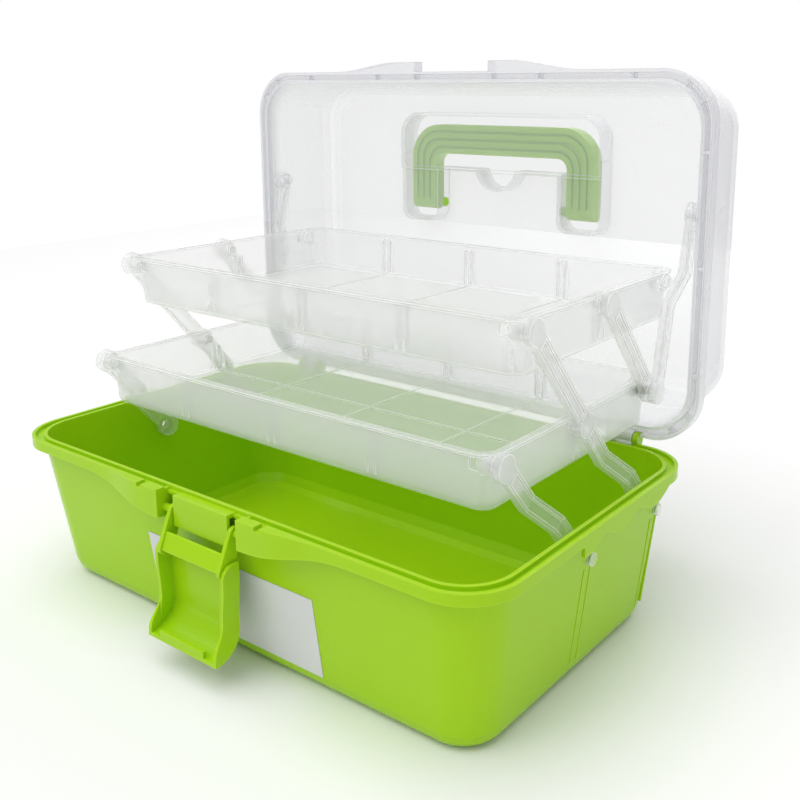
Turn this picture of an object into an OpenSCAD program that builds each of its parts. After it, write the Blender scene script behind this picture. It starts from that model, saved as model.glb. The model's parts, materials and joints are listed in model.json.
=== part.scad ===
// Sewing box with two cantilever trays, drawn open.
// The origin is the centre of the footprint, X is the length, the latch faces -Y and Z is up.
// The lid and its handle are drawn shut and then turned back about the rear hinge.

/* [Tub] */
// Length over the rim
box_l = 330; // [320:1:340]
// Depth over the rim
box_w = 200; // [194:1:206]
// Height of the tub rim
tub_h = 86; // [84:1:88]
// Wall of the tub and the lid
wall = 2.2; // [1.8:0.1:2.6]
// Corner radius of the rim, seen from above
rim_r = 28; // [24:1:32]
// Depth of the plain part of the skirt under the rim
skirt_h = 5.6; // [4:0.2:7]
// Depth of the skirt beside the latch
skirt_deep = 15; // [12:0.5:16]

/* [Lid] */
// Height of the box when it is shut
shut_h = 150; // [148:1:156]
// Angle from shut to fully open, degrees
lid_open = 90; // [70:1:90]
// How far the lid flange bulges out beside the latch
lid_bulge = 5.5; // [3:0.5:6]
// Depth of the handle recess in the lid
recess_d = 13; // [12.5:0.5:13.5]

/* [Trays] */
// Half length of a tray over its flange
tray_hx = 138; // [134:0.5:138]
// Half depth of a tray over its flange
tray_hy = 80.5; // [76:0.5:81]
// Height of a tray
tray_h = 27.7; // [22:0.1:28.5]
// Wall and floor of a tray
tray_wall = 1.5; // [1.2:0.1:1.8]

/* [Linkage] */
// Distance between neighbouring pivots along a tray
pivot_s = 69.8; // [69:0.1:70.5]
// Length of one arm between its pivots
arm_len = 73.2; // [72.5:0.1:74]
// Lean of the arms from upright when the box is open, degrees
arm_lean = 40.7; // [40:0.1:42]
// Width of an arm
arm_w = 9; // [8:0.5:10]
// Thickness of an arm
arm_t = 4.5; // [4:0.1:4.5]
// Radius of the snap pins
pin_r = 2.5; // [2.2:0.1:2.8]

/* [Latch] */
// Half length of the latch gap in the skirt
latch_gap = 29; // [28:0.5:32]
// Length of the latch link between its pivots
link_len = 18.2; // [17:0.1:19]
// Height of the lever
lever_h = 48; // [44:1:50]

/* [Handle] */
// Half width of the handle
handle_hx = 70; // [66:1:70]
// Width of the handle bar
handle_bar = 19; // [17:0.5:20]
// Thickness of the handle bar
handle_t = 10; // [8:0.5:10]

/* [Hidden] */
$fn = 64;
green = [0.58, 0.82, 0.12];
frosted = [0.93, 0.94, 0.97, 0.55];
clear_pp = [0.86, 0.90, 0.90, 0.55];
hx = box_l / 2;
hy = box_w / 2;
run_gap = 0.06;                  // radial clearance of a pin in its hole
slab = 0.01;                     // thickness of the slabs that a hull joins
// Tub rim and wall
lip_w = 1.9;                     // width of the two ridges on the rim
open_hx = hx - 7;                // half length of the tub opening
open_hy = hy - 7;
foot_y = 84;                     // half depth of the tub just above its rounded bottom edge
foot_x = 150.6;
foot_z = 9;
top_z = tub_h - 2;               // where the outer wall meets the rim
// Hinge axis at the rear
hinge_y = hy + 1.8;
hinge_z = tub_h + 2;
hinge_x = 122;                   // centre of each hinge
knuckle_w = 12.4;
// Pivots on the tub, side view
p8 = [67, 66];
p7 = p8 - [pivot_s, 0];
lean = [-sin(arm_lean), cos(arm_lean)];
p5 = p8 + arm_len * lean;
p4 = p5 - [pivot_s, 0];
p6 = p5 + [pivot_s, 0];
p1 = p5 + arm_len * lean;
p2 = p1 + [pivot_s, 0];
p9 = [109.2, 215.1];             // lid link's pivot on the lid, with the lid open
pivot_drop = 5.2;                // pivots lie this far under the tray's rim
tray_shift = 4.9;                // the tray's centre lies this far behind its middle pivot
// Layers of the linkage on each side, measured outward from the middle of the box
arm_x = 138.6;                   // inner face of the arms beside the trays
base_x = 148.8;                  // inner face of the arms beside the tub wall
link_x = 143.6;                  // inner face of the lid link beside the lower tray
lid_x = 150.4;                   // inner face of the lid link beside the lid wall
link_t = 4;
boss_x = 138.2;                  // outer face of the pivot bosses of a tray
head_x = 133.4;                  // inner face of the tray wall around the snap heads
head_r = 6.5;
rail_w = 1.8;                    // width of the rails beside an arm's channel
channel = 1.5;                   // depth of that channel
jog_from = 28;                   // the arms step inward between these distances from the tub's pivot
jog_to = 42;
hub_r = 3.6;                     // hub of the rear arm that carries the lid link
// Lid
lid_z = tub_h + 0.4;             // lower edge of the shut lid
lid_wall = 1.8;
lid_pin_r = 2.3;
lid_pin_gap = 1.5;               // the opened pivot of the linkage has this much play
// Latch, side view
b1 = [-98, 75.5];
link_lean = 20.9;
b2 = b1 + link_len * [-sin(link_lean), -cos(link_lean)];
bar_r = 2;
trunnion_r = 1.8;
arm_in = 20.6;                   // inner face of the latch link's side arms
arm_out = 22.8;
cheek_in = 23.1;                 // inner face of the lever's cheeks
cheek_out = 25.1;
lever_back = -98.8;
lever_front = -108.8;
lever_reach = 16.6;
lever_top = b2[1] + 4;
lever_foot = lever_top - lever_h;
// Handle, lid shut
recess_step = 1.5;
handle_axis = [-14, shut_h - 6.5];
handle_y0 = -66;
handle_z0 = shut_h - 1.5 - handle_t;
nub_r = 3;
groove_w = 1.7;
groove_d = 1.6;
groove_in = 3.6;                 // distance of the outer grooves from the bar's edges
// Label
label_x = 4.5;
label_w = 119;
label_h = 43;
label_t = 0.3;

// ---- plan shapes ----
module rounded(px, py, r) {
    square([2 * px, 2 * (py - r)], center = true);
    square([2 * (px - r), 2 * py], center = true);
    for (sx = [-1, 1], sy = [-1, 1]) translate([sx * (px - r), sy * (py - r)]) circle(r);
}

module ring_slab(px, py, r, z) {
    translate([0, 0, z]) linear_extrude(slab) rounded(px, py, r);
}

// Smooth step from 0 at a to 1 at b
function ease(v, a, b) = let (t = min(1, max(0, (v - a) / (b - a)))) (1 - cos(180 * t)) / 2;

// Front outline that swells beside the latch and is plain further out
module front_swell(size, near, far) {
    step = 4;
    xs = [for (x = [-far:step:far]) x];
    polygon(concat([for (x = xs) [x, -hy - size * (1 - ease(abs(x), near, far))]],
        [[far, -hy + 6], [-far, -hy + 6]]));
}

// A bar with round ends between two points of a side view
module link_2d(a, b, w) {
    d = b - a;
    n = w / 2 / norm(d) * [-d[1], d[0]];
    polygon([a + n, b + n, b - n, a - n]);
    translate(a) circle(w / 2);
    translate(b) circle(w / 2);
}

// Side views are drawn in (Y, Z) and extruded along X from x0 to x1
module along_x(x0, x1) {
    translate([x0, 0, 0]) rotate([90, 0, 90]) linear_extrude(x1 - x0) children();
}

module peg(p, r, x0, x1) {
    translate([x0, p[0], p[1]]) rotate([0, 90, 0]) cylinder(h = x1 - x0, r = r);
}

// ---- tub ----
module tub_outside() {
    hull() {
        ring_slab(142, 75.5, 14, 0);
        ring_slab(146.5, 79.9, 18, 1.8);
        ring_slab(149.3, 82.6, 20, 5);
        ring_slab(foot_x, foot_y, 21, foot_z);
        ring_slab(open_hx + lip_w, open_hy + lip_w, rim_r - 2, top_z);
    }
}

module tub_inside() {
    hull() {
        ring_slab(140, 73.5, 12, wall);
        ring_slab(145.6, 79, 17, wall + 2.2);
        ring_slab(foot_x - wall, foot_y - wall, 19, foot_z + 1);
        ring_slab(open_hx, open_hy, rim_r - 4, tub_h + 1);
    }
}

function front_edge(x) = top_z - skirt_deep + 2 + (skirt_deep - skirt_h) * ease(abs(x), latch_gap + 1, 95);
// Scalloped lower edge on the short sides, with a notch over each snap pin
function side_edge(y) = abs(y) > 68 ? tub_h - skirt_h : tub_h - skirt_h - 5.4 * abs(sin(180 * y / 34));

// What lies below the wavy lower edge of the skirt
module below_skirt() {
    low = tub_h - 30;
    xs = [for (x = [-hx - 2:4:hx + 2]) x];
    ys = [for (y = [-hy - 4:2:hy + 4]) y];
    translate([0, -20, 0]) rotate([90, 0, 0]) linear_extrude(hy)
        polygon(concat([for (x = xs) [x, front_edge(x)]], [[hx + 2, low], [-hx - 2, low]]));
    along_x(-hx - 2, hx + 2)
        polygon(concat([for (y = ys) if (y > 14 - hy) [y, side_edge(y)]], [[hy + 4, low], [-hy + 14, low]]));
}

module skirt() {
    difference() {
        translate([0, 0, tub_h - 20]) linear_extrude(20) difference() {
            union() {
                rounded(hx, hy, rim_r);
                front_swell(3.4, 44, 78);
            }
            rounded(hx - lip_w, hy - lip_w, rim_r - lip_w);
        }
        below_skirt();
    }
}

module hinge_ears() {
    for (s = [-1, 1], e = [-1, 1]) {
        x = s * hinge_x + e * (knuckle_w / 2 + 1.9);
        along_x(x - 1.5, x + 1.5) {
            translate([hinge_y, hinge_z]) circle(4);
            translate([hinge_y - 3.8, tub_h - 7]) square([6.5, 7]);
        }
    }
    for (s = [-1, 1]) peg([hinge_y, hinge_z], 2.4, s * hinge_x - 8.5, s * hinge_x + 8.5);
}

// Plate that hangs in the gap, the bar behind it for the latch link, and a stiffening bar
module latch_mount() {
    plate_y = b1[0] - 2.5;
    plate_hx = 19.7;
    translate([-plate_hx, plate_y, tub_h - 17.4]) cube([2 * plate_hx, 1.8, 15.9]);
    translate([-plate_hx, plate_y, tub_h - 3.5]) cube([2 * plate_hx, 7.4, 2]);
    peg(b1, bar_r, -latch_gap - 0.6, latch_gap + 0.6);
    along_x(-plate_hx, plate_hx) {
        translate([b1[0] + 1.6, tub_h - 17.2]) circle(1.5);
        translate([b1[0] + 1.6, tub_h - 17.9]) square([4.6, 1.4]);
    }
    // end walls of the gap, which carry the bar
    for (s = [-1, 1]) along_x(s * (latch_gap + 0.9) - 0.9, s * (latch_gap + 0.9) + 0.9)
        polygon([[-hy - 2.4, tub_h - 1], [-hy - 2.4, front_edge(0)], [-hy + 6.6, front_edge(0) - 1],
            [-hy + 6.6, tub_h - 1]]);
}

// Two faint ribs down the outside wall under each snap pin
module pin_ribs() {
    proud = 0.35;
    end = p7[1] - 5;
    end_x = foot_x + (open_hx + lip_w - foot_x) * (end - foot_z) / (top_z - foot_z);
    for (s = [-1, 1], p = [p7, p8], e = [-3, 3])
        translate([0, p[0] + e, 0]) rotate([90, 0, 0]) linear_extrude(1, center = true)
            polygon([[s * (foot_x - 1), foot_z + 1], [s * (foot_x + proud), foot_z + 1],
                [s * (end_x + proud), end], [s * (end_x - 1), end]]);
}

module base_tub() {
    color(green) difference() {
        union() {
            difference() {
                union() {
                    tub_outside();
                    translate([0, 0, tub_h - 3.8]) linear_extrude(1.8) {
                        rounded(hx, hy, rim_r);
                        front_swell(3.4, 44, 78);
                    }
                    translate([0, 0, top_z - 1]) linear_extrude(3)
                        rounded(open_hx + lip_w, open_hy + lip_w, rim_r - 2);
                    skirt();
                }
                tub_inside();
                // gap for the latch
                translate([-latch_gap, -hy - 10, tub_h - 18]) cube([2 * latch_gap, 13.6, 30]);
                // short steps in the outer ridge beside the gap
                for (s = [-1, 1]) translate([s * 43 - 1.8, -hy - 5, top_z]) cube([3.6, 8, 6]);
                // room for the lid's hinge knuckles
                for (s = [-1, 1]) peg([hinge_y, hinge_z], 5, s * hinge_x - 6.6, s * hinge_x + 6.6);
            }
            latch_mount();
            hinge_ears();
            pin_ribs();
            for (s = [-1, 1], p = [p7, p8]) peg(p, 5, s > 0 ? 153.6 : -157, s > 0 ? 157 : -153.6);
        }
        for (s = [-1, 1], p = [p7, p8]) peg(p, pin_r + run_gap, s > 0 ? 150 : -164, s > 0 ? 164 : -150);
    }
}

module front_label() {
    // plain sticker, tilted like the front wall
    draft = atan((open_hy + lip_w - foot_y) / (top_z - foot_z));
    color("white") translate([label_x, -foot_y - 0.06, foot_z]) rotate([draft, 0, 0])
        translate([-label_w / 2, -label_t, 0.4]) cube([label_w, label_t, label_h]);
}

// ---- lid, drawn shut ----
module opened() {
    translate([0, hinge_y, hinge_z]) rotate([-lid_open, 0, 0]) translate([0, -hinge_y, -hinge_z]) children();
}

module lid_body(t, z0) {
    hull() {
        ring_slab(160 - t, 95 - t, 26 - t, z0);
        ring_slab(156.5 - t, 91.5 - t, 24 - t, shut_h - 10 - t);
        ring_slab(155 - t, 90 - t, 22 - t, shut_h - 4 - t);
        ring_slab(152 - t, 87 - t, 19 - t, shut_h - 1 - t);
        ring_slab(147.5 - t, 82.5 - t, 15 - t, shut_h - slab - t);
    }
}

// Plan of the handle recess, grown by e
module recess_2d(e) {
    translate([0, -55]) rounded(75 + e, 17 + e, 13 + e);
    for (s = [-1, 1]) translate([s * 61.5, -26.5]) rounded(13.5 + e, 23.5 + e, 6 + e);
    translate([0, -40]) circle(14 + e);
}

// The recess is a step deeper under the bar than under the handle's legs
module recess(e, under) {
    translate([0, 0, shut_h - recess_d - under]) linear_extrude(30) recess_2d(e);
    translate([0, 0, shut_h - recess_d - recess_step - under]) linear_extrude(30) intersection() {
        recess_2d(e);
        translate([-100, -100]) square([200, 62 + e]);
    }
}

// Plan of the handle's bar, taken in by e on every side
module handle_2d(e) {
    deep = handle_axis[0] - handle_y0;
    intersection() {
        difference() {
            translate([0, handle_axis[0]]) rounded(handle_hx - e, deep - e, 22 - e);
            translate([0, handle_axis[0]]) rounded(handle_hx - handle_bar + e, deep - handle_bar + e, 7 + e);
        }
        translate([-100, handle_y0 - 1]) square([200, deep + 1]);
    }
}

module lid_rim() {
    linear_extrude(7.8) difference() {
        lid_outline();
        rounded(hx - lid_wall, hy - lid_wall, rim_r - lid_wall);
    }
    translate([0, 0, 6]) linear_extrude(1.8) lid_outline();
    linear_extrude(6.5) rounded(160, 95, 26);
}

module lid_outline() {
    difference() {
        union() {
            rounded(hx, hy, rim_r);
            front_swell(lid_bulge, 40, 92);
        }
        translate([-27, -hy - 8]) square([54, 8.4]);
    }
}

module lid_gussets() {
    z = lid_z + 1;
    for (s = [-1, 1], y = [-58, 2, 60]) translate([s * 161.6 - 2.6, y - 0.7, z]) cube([5.2, 1.4, 5.4]);
    for (x = [-118, -60, -28.6, 28.6, 60, 118]) translate([x - 0.7, -hy + 1, z]) cube([1.4, 5.2, 5.4]);
    for (x = [-90, -30, 30, 90]) translate([x - 0.7, hy - 6.2, z]) cube([1.4, 5.2, 5.4]);
    for (sx = [-1, 1], sy = [-1, 1], a = [30, 60])
        translate([sx * (hx - rim_r), sy * (hy - rim_r), z]) rotate([0, 0, atan2(sy * sin(a), sx * cos(a))])
            translate([22.6, -0.7, 0]) cube([4.6, 1.4, 5.4]);
}

module lid_shell() {
    q = [hinge_y - (p9[1] - hinge_z), hinge_z + (p9[0] - hinge_y)];   // lid link's pivot with the lid shut
    color(frosted) opened() {
        difference() {
            union() {
                difference() {
                    union() {
                        lid_body(0, lid_z);
                        translate([0, 0, lid_z]) lid_rim();
                        for (s = [-1, 1])
                            peg([hinge_y, hinge_z], 4.6, s * hinge_x - knuckle_w / 2,
                                s * hinge_x + knuckle_w / 2);
                    }
                    difference() {
                        lid_body(lid_wall, lid_z - 1);
                        recess(lid_wall, lid_wall);
                    }
                    recess(0, 0);
                    for (s = [-1, 1], e = [-1, 1]) {
                        x = s * hinge_x + e * (knuckle_w / 2 + 1.9);
                        peg([hinge_y, hinge_z], 4.4, x - 2.1, x + 2.1);
                    }
                }
                lid_gussets();
                for (s = [-1, 1]) {
                    peg(q, 4.6, s > 0 ? 155.2 : -158.6, s > 0 ? 158.6 : -155.2);
                    peg(q, lid_pin_r, s > 0 ? 149.6 : -156, s > 0 ? 156 : -149.6);
                }
            }
            for (s = [-1, 1]) {
                peg([hinge_y, hinge_z], 2.4 + run_gap, s * hinge_x - 7, s * hinge_x + 7);
                peg(handle_axis, nub_r + run_gap, s > 0 ? 44 : -49, s > 0 ? 49 : -44);
            }
        }
    }
}

module handle() {
    color(green) opened() {
        difference() {
            translate([0, 0, handle_z0]) linear_extrude(handle_t) handle_2d(0);
            // three long grooves in each face
            for (z = [handle_z0 - 1, handle_z0 + handle_t - groove_d])
                translate([0, 0, z]) linear_extrude(groove_d + 1) {
                    handle_2d((handle_bar - groove_w) / 2);
                    difference() {
                        handle_2d(groove_in);
                        handle_2d(groove_in + groove_w);
                    }
                }
        }
        for (s = [-1, 1]) {
            peg(handle_axis, handle_t / 2, s > 0 ? handle_hx - handle_bar : -handle_hx,
                s > 0 ? handle_hx : handle_bar - handle_hx);
            peg(handle_axis, nub_r, s > 0 ? 45.4 : -52, s > 0 ? 52 : -45.4);
        }
    }
}

// ---- latch ----
// A plate with round ends of radius ra and rb between two points of a side view
module taper_2d(a, b, ra, rb) {
    d = b - a;
    n = [-d[1], d[0]] / norm(d);
    polygon([a + ra * n, b + rb * n, b - rb * n, a - ra * n]);
    translate(a) circle(ra);
    translate(b) circle(rb);
}

module latch_link() {
    color(green) difference() {
        union() {
            for (s = [-1, 1]) {
                x0 = s > 0 ? arm_in : -arm_out;
                along_x(x0, x0 + arm_out - arm_in) taper_2d(b1, b2, 3.5, 4.5);
                peg(b2, trunnion_r, s > 0 ? arm_in : -cheek_out, s > 0 ? cheek_out : -arm_in);
            }
            along_x(-arm_in - 0.1, arm_in + 0.1)
                link_2d(b2 - [2.6, 0], b2 - [2.6, 0] + 0.44 * (b1 - b2), 1.8);
        }
        for (s = [-1, 1])
            peg(b1, bar_r + run_gap, s > 0 ? arm_in - 1 : -arm_out - 1, s > 0 ? arm_out + 1 : 1 - arm_in);
    }
}

// Side view of the lever: a straight back that sweeps forward into a lip, taken in by e
module lever_back_2d(e) {
    sweep = 16;
    polygon(concat(
        [for (a = [0:9:90]) [lever_back - e - (lever_reach - e) * (1 - cos(a)),
            lever_foot + e + (sweep - e) * (1 - sin(a))]],
        [for (z = [lever_foot + 2:2:lever_top - 6])
            [lever_front - 6.6 * (1 - ease(z - lever_foot, 3, 19)), z]],
        [[lever_front + 1.2, lever_top - 3], [lever_front + 4, lever_top - 0.4],
            [lever_back - e, lever_top]]));
}

// Front view of the lever: slightly waisted, taken in by e
module lever_face_2d(e) {
    zs = [for (k = [0:16]) lever_foot - 1 + k * (lever_h + 2) / 16];
    edge = [for (z = zs) let (t = min(1, max(0, (z - lever_foot - 2) / (lever_h - 12))))
        [cheek_out - e - 0.75 * (1 - cos(360 * t)), z]];
    polygon(concat(edge, [for (k = [16:-1:0]) [-edge[k][0], edge[k][1]]]));
}

module lever_solid(e) {
    intersection() {
        along_x(-cheek_out, cheek_out) lever_back_2d(e);
        translate([0, -90, 0]) rotate([90, 0, 0]) linear_extrude(40) lever_face_2d(e);
    }
}

module latch_lever() {
    color(green) difference() {
        union() {
            difference() {
                lever_solid(0);
                // pocket open to the front and, above the back plate, to the rear
                translate([0, -0.01, 0.01]) lever_solid(cheek_out - cheek_in);
                translate([-cheek_in, lever_front - 9, lever_foot + 6]) cube([2 * cheek_in, 8.6, lever_h]);
                translate([-cheek_in, lever_front - 9, lever_top - 7]) cube([2 * cheek_in, 30, 20]);
            }
            translate([-16, lever_back - lever_reach, lever_foot + 0.8]) cube([32, 1.8, 4.6]);
        }
        for (s = [-1, 1]) peg(b2, trunnion_r + run_gap, s > 0 ? 22 : -27, s > 0 ? 27 : -22);
    }
}

// ---- trays ----
module tray(mid, spare) {
    wx = tray_hx - 2.4;
    wy = tray_hy - 2.4;
    rim = mid[1] + pivot_drop;
    yc = mid[0] + tray_shift;
    low = tray_h - tray_wall;
    color(clear_pp) translate([0, yc, rim]) difference() {
        union() {
            difference() {
                union() {
                    hull() {
                        ring_slab(wx, wy, 9, -slab);
                        ring_slab(wx - 1.4, wy - 1.4, 8.4, 2 - tray_h);
                        ring_slab(wx - 2.8, wy - 2.8, 7, -tray_h);
                    }
                    translate([0, 0, -1.5]) linear_extrude(1.5) rounded(tray_hx, tray_hy, 11);
                }
                hull() {
                    ring_slab(wx - tray_wall, wy - tray_wall, 7.5, 1);
                    ring_slab(wx - tray_wall - 1.4, wy - tray_wall - 1.4, 6.9, 2 - low);
                    ring_slab(wx - tray_wall - 2.6, wy - tray_wall - 2.6, 5.7, -low);
                }
            }
            for (x = [-1, 0, 1])
                translate([x * wx / 2 - 0.7, 3 - wy, -low - 0.1]) cube([1.4, 2 * wy - 6, 1.1]);
            translate([3 - wx, -0.7, -low - 0.1]) cube([2 * wx - 6, 1.4, 1.1]);
            // slots for dividers
            for (x = [-1, 0, 1], e = [-1, 1], s = [-1, 1])
                translate([x * wx / 2 + e * 2.4 - 0.6, s * (wy - 3) - 2, 1.5 - low]) cube([1.2, 4, low - 4]);
            for (s = [-1, 1], e = [-1, 1])
                translate([s * (wx - 3) - 2, e * 2.4 - 0.6, 1.5 - low]) cube([4, 1.2, low - 12]);
            for (s = [-1, 1], k = [-1, 0, 1]) {
                from = k == 0 ? wx - 1.6 : wx - 5.4;
                peg([k * pivot_s - tray_shift, -pivot_drop], 5, s > 0 ? from : -boss_x,
                    s > 0 ? boss_x : -from);
            }
            if (spare) for (s = [-1, 1])
                peg([pivot_s - tray_shift, -pivot_drop], 3.2, s > 0 ? wx - 2.6 : -boss_x - 2,
                    s > 0 ? boss_x + 2 : 2.6 - wx);
        }
        for (s = [-1, 1], k = spare ? [-1, 0] : [-1, 0, 1])
            peg([k * pivot_s - tray_shift, -pivot_drop], (k == 1 ? hub_r : pin_r) + run_gap,
                s > 0 ? 125 : -145, s > 0 ? 145 : -125);
        // room for the snap heads
        for (s = [-1, 1], k = spare ? [-1, 0] : [-1, 0, 1])
            peg([k * pivot_s - tray_shift, -pivot_drop], hub_r + 0.4, s > 0 ? 125 : -head_x,
                s > 0 ? head_x : -125);
    }
}

module upper_tray() { tray(p2, true); }

module lower_tray() { tray(p5, false); }

// ---- arms, drawn for the right side ----
// An arm of a side view with its lower end at a, upper end at b and a step between the
// layers x0 (lower) and x1 (upper), from j0 to j1 of its length
module arm_side_2d(d, x0, x1, t, j0, j1, start, end, rise) {
    slant = t * 0.35 * sign(x0 - x1);
    polygon([[x0 + rise, start], [x0 + rise, j0 * d], [x1 + rise, j1 * d], [x1 + rise, end], [x1 + t, end],
        [x1 + t, j1 * d + slant], [x0 + t, j0 * d + slant], [x0 + t, start]]);
}

module stepped_arm(a, b, x0, x1, t, j0, j1) {
    d = norm(b - a);
    tilt = atan2(-(b - a)[0], (b - a)[1]);
    translate([0, a[0], a[1]]) rotate([tilt, 0, 0]) {
        difference() {
            rotate([90, 0, 0]) translate([0, 0, -arm_w / 2]) linear_extrude(arm_w)
                arm_side_2d(d, x0, x1, t, j0, j1, 0, d, 0);
            // long channel in the outer face
            translate([0.01, 0, 0]) rotate([90, 0, 0]) translate([0, 0, rail_w - arm_w / 2])
                linear_extrude(arm_w - 2 * rail_w)
                    arm_side_2d(d, x0, x1, t, j0, j1, head_r + 2, d - head_r - 2, t - channel);
        }
        translate([x0, 0, 0]) rotate([0, 90, 0]) cylinder(h = t, r = head_r);
        translate([x1, 0, d]) rotate([0, 90, 0]) cylinder(h = t, r = head_r);
    }
}

// Snap pin through the tub wall
module tub_pin(p) {
    peg(p, pin_r, base_x + 1, 160);
    peg(p, 3.3, 158.5, 160.2);
}

// Snap pin through a tray wall
module tray_pin(p) {
    peg(p, pin_r, 132.6, arm_x + 1);
    peg(p, 3, 131.6, 133.2);
}

module front_arm() {
    stepped_arm(p7, p4, base_x, arm_x, arm_t, jog_from / arm_len, jog_to / arm_len);
    tub_pin(p7);
    tray_pin(p4);
}

module long_arm() {
    stepped_arm(p8, p1, base_x, arm_x, arm_t, jog_from / arm_len / 2, jog_to / arm_len / 2);
    peg(p5, head_r, arm_x, arm_x + arm_t);
    tub_pin(p8);
    tray_pin(p5);
    tray_pin(p1);
}

module rear_arm() {
    difference() {
        union() {
            stepped_arm(p6, p2, arm_x, arm_x, arm_t, 0.4, 0.6);
            peg(p6, hub_r, 132.4, arm_x + 1);
            tray_pin(p2);
        }
        peg(p6, 2.4 + run_gap, 130, 150);
    }
}

module lid_link() {
    difference() {
        union() {
            stepped_arm(p6, p9, link_x, lid_x, link_t, 0.5, 0.68);
            peg(p6, 2.4, 132, link_x + 1);
        }
        peg(p9, lid_pin_r + lid_pin_gap, 145, 160);
    }
}

module right_arm() { color(clear_pp) children(); }

module left_arm() { color(clear_pp) mirror([1, 0, 0]) children(); }

base_tub();
front_label();
lid_shell();
handle();
latch_link();
latch_lever();
upper_tray();
lower_tray();
left_arm() front_arm();  // front_arm_left
right_arm() front_arm();  // front_arm_right
left_arm() long_arm();  // long_arm_left
right_arm() long_arm();  // long_arm_right
left_arm() rear_arm();  // rear_arm_left
right_arm() rear_arm();  // rear_arm_right
left_arm() lid_link();  // lid_link_left
right_arm() lid_link();  // lid_link_right
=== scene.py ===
"""Sewing box with two cantilever trays: its looks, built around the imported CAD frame."""
import json
import math

import bpy
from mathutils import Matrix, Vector


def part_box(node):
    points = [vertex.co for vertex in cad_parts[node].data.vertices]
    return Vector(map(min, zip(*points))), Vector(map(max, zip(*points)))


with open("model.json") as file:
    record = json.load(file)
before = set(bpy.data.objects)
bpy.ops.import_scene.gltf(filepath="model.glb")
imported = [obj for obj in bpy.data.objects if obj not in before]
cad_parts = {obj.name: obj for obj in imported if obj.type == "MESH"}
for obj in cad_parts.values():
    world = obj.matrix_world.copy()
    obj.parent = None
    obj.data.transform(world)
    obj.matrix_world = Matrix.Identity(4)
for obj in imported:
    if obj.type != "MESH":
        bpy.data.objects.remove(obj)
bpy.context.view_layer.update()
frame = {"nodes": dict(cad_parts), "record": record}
MM = 0.001


# ---- camera, light and floor ----
def make_camera():
    yaw = math.radians(37.2)
    pitch = math.radians(12.1)
    data = bpy.data.cameras.new("camera")
    data.sensor_width = 36.0
    data.lens = 44.63
    data.shift_x = -0.05
    data.shift_y = -0.125
    data.clip_start = 0.01
    camera = bpy.data.objects.new("camera", data)
    bpy.context.collection.objects.link(camera)
    camera.location = (0.360, -0.3838, 0.2801)
    camera.rotation_euler = (math.pi / 2 - pitch, 0, yaw)
    bpy.context.scene.camera = camera


def area_light(name, place, target, size, power):
    """Square soft box at a place, turned towards a target."""
    data = bpy.data.lights.new(name, "AREA")
    data.shape = "SQUARE"
    data.size = size
    data.energy = power
    light = bpy.data.objects.new(name, data)
    bpy.context.collection.objects.link(light)
    light.location = place
    light.rotation_euler = (Vector(target) - Vector(place)).to_track_quat("-Z", "Y").to_euler()


def make_world():
    """White to look at, with a softer grey for the light that it sheds."""
    world = bpy.data.worlds.new("studio")
    bpy.context.scene.world = world
    world.use_nodes = True
    tree = world.node_tree
    shed = tree.nodes["Background"]
    shed.inputs["Color"].default_value = (1, 1, 1, 1)
    shed.inputs["Strength"].default_value = 0.50
    seen = tree.nodes.new("ShaderNodeBackground")
    seen.inputs["Color"].default_value = (1, 1, 1, 1)
    seen.inputs["Strength"].default_value = 1.0
    path = tree.nodes.new("ShaderNodeLightPath")
    pick = tree.nodes.new("ShaderNodeMixShader")
    tree.links.new(path.outputs["Is Camera Ray"], pick.inputs["Fac"])
    tree.links.new(shed.outputs["Background"], pick.inputs[1])
    tree.links.new(seen.outputs["Background"], pick.inputs[2])
    tree.links.new(pick.outputs["Shader"], tree.nodes["World Output"].inputs["Surface"])


def make_sun():
    data = bpy.data.lights.new("overhead", "SUN")
    data.energy = 1.75
    data.angle = math.radians(70)
    sun = bpy.data.objects.new("overhead", data)
    bpy.context.collection.objects.link(sun)
    sun.rotation_euler = (math.radians(14), math.radians(-10), 0)


def make_floor():
    """Pale floor that ends short of the back light, so that it has no dark strip behind the light."""
    half = 1.3
    corners = [(-half, -half, 0), (half, -half, 0), (half, half, 0), (-half, half, 0)]
    mesh = bpy.data.meshes.new("floor")
    mesh.from_pydata(corners, [], [(0, 1, 2, 3)])
    mesh.materials.append(plain("floor", (0.90, 0.90, 0.90), 0.9))
    floor = bpy.data.objects.new("floor", mesh)
    bpy.context.collection.objects.link(floor)


def make_studio():
    middle = (0, 0.03, 0.13)
    bpy.context.scene.view_settings.view_transform = "Standard"
    make_world()
    make_sun()
    area_light("key", (-0.5, -1.5, 1.2), middle, 0.8, 3)
    area_light("fill", (1.6, -0.5, 0.8), middle, 1.0, 1.5)
    area_light("back", (-0.2, 1.5, 0.8), middle, 1.2, 4)
    make_floor()


# ---- materials ----
def plain(name, colour, roughness):
    material = bpy.data.materials.new(name)
    material.use_nodes = True
    shader = material.node_tree.nodes["Principled BSDF"]
    shader.inputs["Base Color"].default_value = (*colour, 1)
    shader.inputs["Roughness"].default_value = roughness
    return material


def ramp(tree, source, low, high, at_low, at_high):
    """Maps a value from the range low..high to at_low..at_high, held at both ends."""
    node = tree.nodes.new("ShaderNodeMapRange")
    node.inputs["From Min"].default_value = low
    node.inputs["From Max"].default_value = high
    node.inputs["To Min"].default_value = at_low
    node.inputs["To Max"].default_value = at_high
    tree.links.new(source, node.inputs["Value"])
    return node.outputs["Result"]


def add(tree, first, second):
    """Sum of two values, held to 0..1."""
    node = tree.nodes.new("ShaderNodeMath")
    node.operation = "ADD"
    node.use_clamp = True
    tree.links.new(first, node.inputs[0])
    tree.links.new(second, node.inputs[1])
    return node.outputs["Value"]


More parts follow.
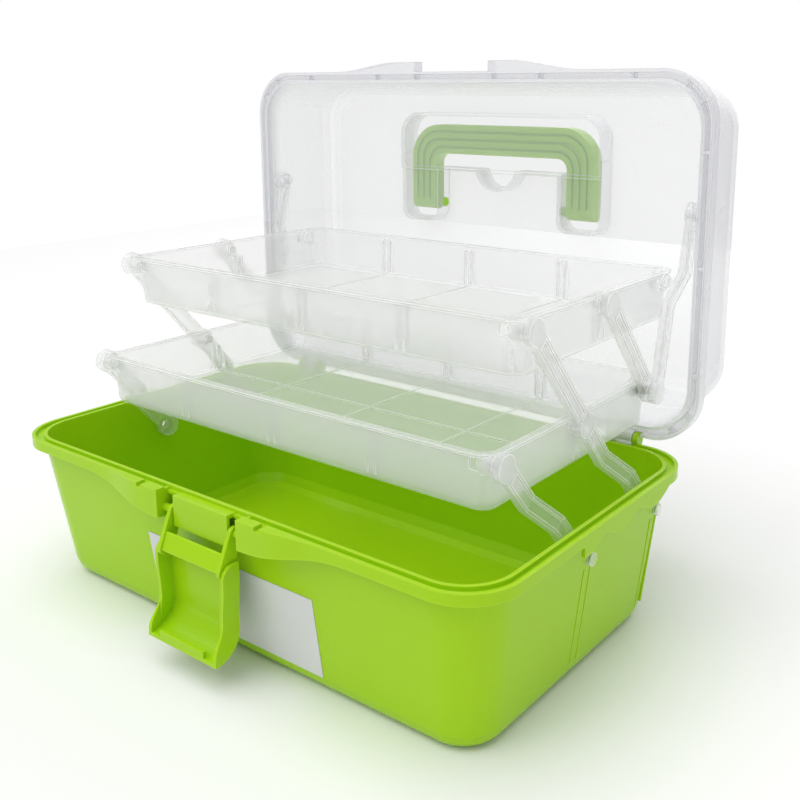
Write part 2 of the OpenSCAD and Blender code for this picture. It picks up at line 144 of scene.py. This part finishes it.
def varied(material, dark, light, scale, rough_low, rough_high, bump, bump_scale):
    """Gives a material faint cloudy variation in colour and gloss, and a faint relief."""
    tree = material.node_tree
    shader = tree.nodes["Principled BSDF"]
    place = tree.nodes.new("ShaderNodeTexCoord")
    cloud = tree.nodes.new("ShaderNodeTexNoise")
    cloud.inputs["Scale"].default_value = scale
    cloud.inputs["Detail"].default_value = 4
    tree.links.new(place.outputs["Object"], cloud.inputs["Vector"])
    tint = tree.nodes.new("ShaderNodeMix")
    tint.data_type = "RGBA"
    tint.inputs["A"].default_value = (*dark, 1)
    tint.inputs["B"].default_value = (*light, 1)
    tree.links.new(cloud.outputs["Fac"], tint.inputs["Factor"])
    tree.links.new(tint.outputs["Result"], shader.inputs["Base Color"])
    tree.links.new(ramp(tree, cloud.outputs["Fac"], 0, 1, rough_low, rough_high), shader.inputs["Roughness"])

    grain = tree.nodes.new("ShaderNodeTexNoise")
    grain.inputs["Scale"].default_value = bump_scale
    grain.inputs["Detail"].default_value = 2
    tree.links.new(place.outputs["Object"], grain.inputs["Vector"])
    relief = tree.nodes.new("ShaderNodeBump")
    relief.inputs["Strength"].default_value = bump
    relief.inputs["Distance"].default_value = 0.4 * MM
    tree.links.new(grain.outputs["Fac"], relief.inputs["Height"])
    tree.links.new(relief.outputs["Normal"], shader.inputs["Normal"])


def edge_lines(tree, radius):
    """1 near a sharp edge and 0 on a flat face: compares a rounded normal with the true one."""
    rounded = tree.nodes.new("ShaderNodeBevel")
    rounded.samples = 4
    rounded.inputs["Radius"].default_value = radius
    face = tree.nodes.new("ShaderNodeNewGeometry")
    turn = tree.nodes.new("ShaderNodeVectorMath")
    turn.operation = "DOT_PRODUCT"
    tree.links.new(rounded.outputs["Normal"], turn.inputs[0])
    tree.links.new(face.outputs["Normal"], turn.inputs[1])
    return ramp(tree, turn.outputs["Value"], 0.99, 0.80, 0.0, 1.0)


def green_plastic(name, dark, light, edge):
    """Opaque moulding with a painted highlight along its sharp edges, where the colour is mixed towards the
    paler edge colour.
    """
    material = plain(name, light, 0.3)
    varied(material, dark, light, 9, 0.20, 0.30, 0.05, 900)
    tree = material.node_tree
    shader = tree.nodes["Principled BSDF"]
    body = shader.inputs["Base Color"].links[0].from_socket
    # painted highlight: near sharp edges the colour is mixed, up to 0.3, towards the paler colour given as
    # edge
    painted_highlight_mix = tree.nodes.new("ShaderNodeMix")
    painted_highlight_mix.data_type = "RGBA"
    tree.links.new(ramp(tree, edge_lines(tree, 1.2 * MM), 0, 1, 0, 0.3), painted_highlight_mix.inputs["Factor"])
    tree.links.new(body, painted_highlight_mix.inputs["A"])
    painted_highlight_mix.inputs["B"].default_value = (*edge, 1)
    tree.links.new(painted_highlight_mix.outputs["Result"], shader.inputs["Base Color"])
    shader.inputs["Subsurface Weight"].default_value = 0.12
    shader.inputs["Subsurface Radius"].default_value = (4 * MM, 6 * MM, 1 * MM)
    shader.inputs["Subsurface Scale"].default_value = 1.0
    shader.inputs["Specular IOR Level"].default_value = 0.22
    return material


def clear_plastic(name, face_alpha, grazing_alpha, line_alpha, tint, roughness, scatter):
    """Translucent moulding, hazier where it is seen edge-on. scatter is how milky its walls are."""
    material = plain(name, tint, roughness)
    dark = tuple(c * 0.97 for c in tint)
    varied(material, dark, tint, 12, roughness * 0.85, roughness * 1.15, 0.03, 45)
    tree = material.node_tree
    shader = tree.nodes["Principled BSDF"]
    edge = tree.nodes.new("ShaderNodeLayerWeight")
    edge.inputs["Blend"].default_value = 0.35
    haze = ramp(tree, edge.outputs["Facing"], 0, 1, face_alpha, grazing_alpha)
    lines = ramp(tree, edge_lines(tree, 1.0 * MM), 0, 1, 0, line_alpha)
    tree.links.new(add(tree, haze, lines), shader.inputs["Alpha"])
    shader.inputs["Specular IOR Level"].default_value = 0.6
    shader.inputs["Subsurface Weight"].default_value = scatter
    shader.inputs["Subsurface Radius"].default_value = (10 * MM, 10 * MM, 10 * MM)
    shader.inputs["Subsurface Scale"].default_value = 1.0
    return material


def thicken_rim(material, axis, start, end, amount):
    """Adds haze where the moulding is thick, between two places along an axis of the object."""
    tree = material.node_tree
    shader = tree.nodes["Principled BSDF"]
    before = shader.inputs["Alpha"].links[0].from_socket
    place = tree.nodes.new("ShaderNodeTexCoord")
    split = tree.nodes.new("ShaderNodeSeparateXYZ")
    tree.links.new(place.outputs["Object"], split.inputs["Vector"])
    extra = ramp(tree, split.outputs[axis], start, end, amount, 0)
    tree.links.new(add(tree, before, extra), shader.inputs["Alpha"])


def set_material(obj, material):
    obj.data.materials.clear()
    obj.data.materials.append(material)


def make_materials():
    """One material for each slot of the record."""
    # the last colour is the painted highlight along sharp edges
    green = green_plastic("green_plastic", (0.35, 0.62, 0.004), (0.39, 0.67, 0.007), (0.60, 0.76, 0.06))
    frosted = clear_plastic("frosted_plastic", 0.16, 0.62, 0.55, (0.90, 0.90, 0.935), 0.28, 0.0)
    rim_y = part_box("lid_shell")[0].y
    thicken_rim(frosted, "Y", rim_y + 7 * MM, rim_y + 15 * MM, 0.30)
    clear = clear_plastic("clear_plastic", 0.11, 0.62, 0.60, (0.96, 0.97, 0.97), 0.12, 0.7)
    paper = plain("label_paper", (0.70, 0.71, 0.72), 0.55)
    varied(paper, (0.66, 0.67, 0.68), (0.72, 0.73, 0.74), 40, 0.5, 0.62, 0.04, 1500)
    return {"green_plastic": green, "frosted_plastic": frosted, "clear_plastic": clear, "label": paper}


def dress_nodes():
    nodes = frame["nodes"]
    finish_of = make_materials()
    for part in frame["record"]["subparts"]:
        set_material(nodes[part["node"]], finish_of[part["material_slot"]])
    # painted light: the handle gets a lighter copy of the green plastic, brightened to stand in for the
    # light falling on it, and its last colour is a painted highlight along its edges
    painted_lit_handle = green_plastic("handle_painted_lighter_green", (0.42, 0.76, 0.07), (0.47, 0.80, 0.09), (0.60, 0.82, 0.14))
    set_material(nodes["handle"], painted_lit_handle)


make_camera()
dress_nodes()
make_studio()
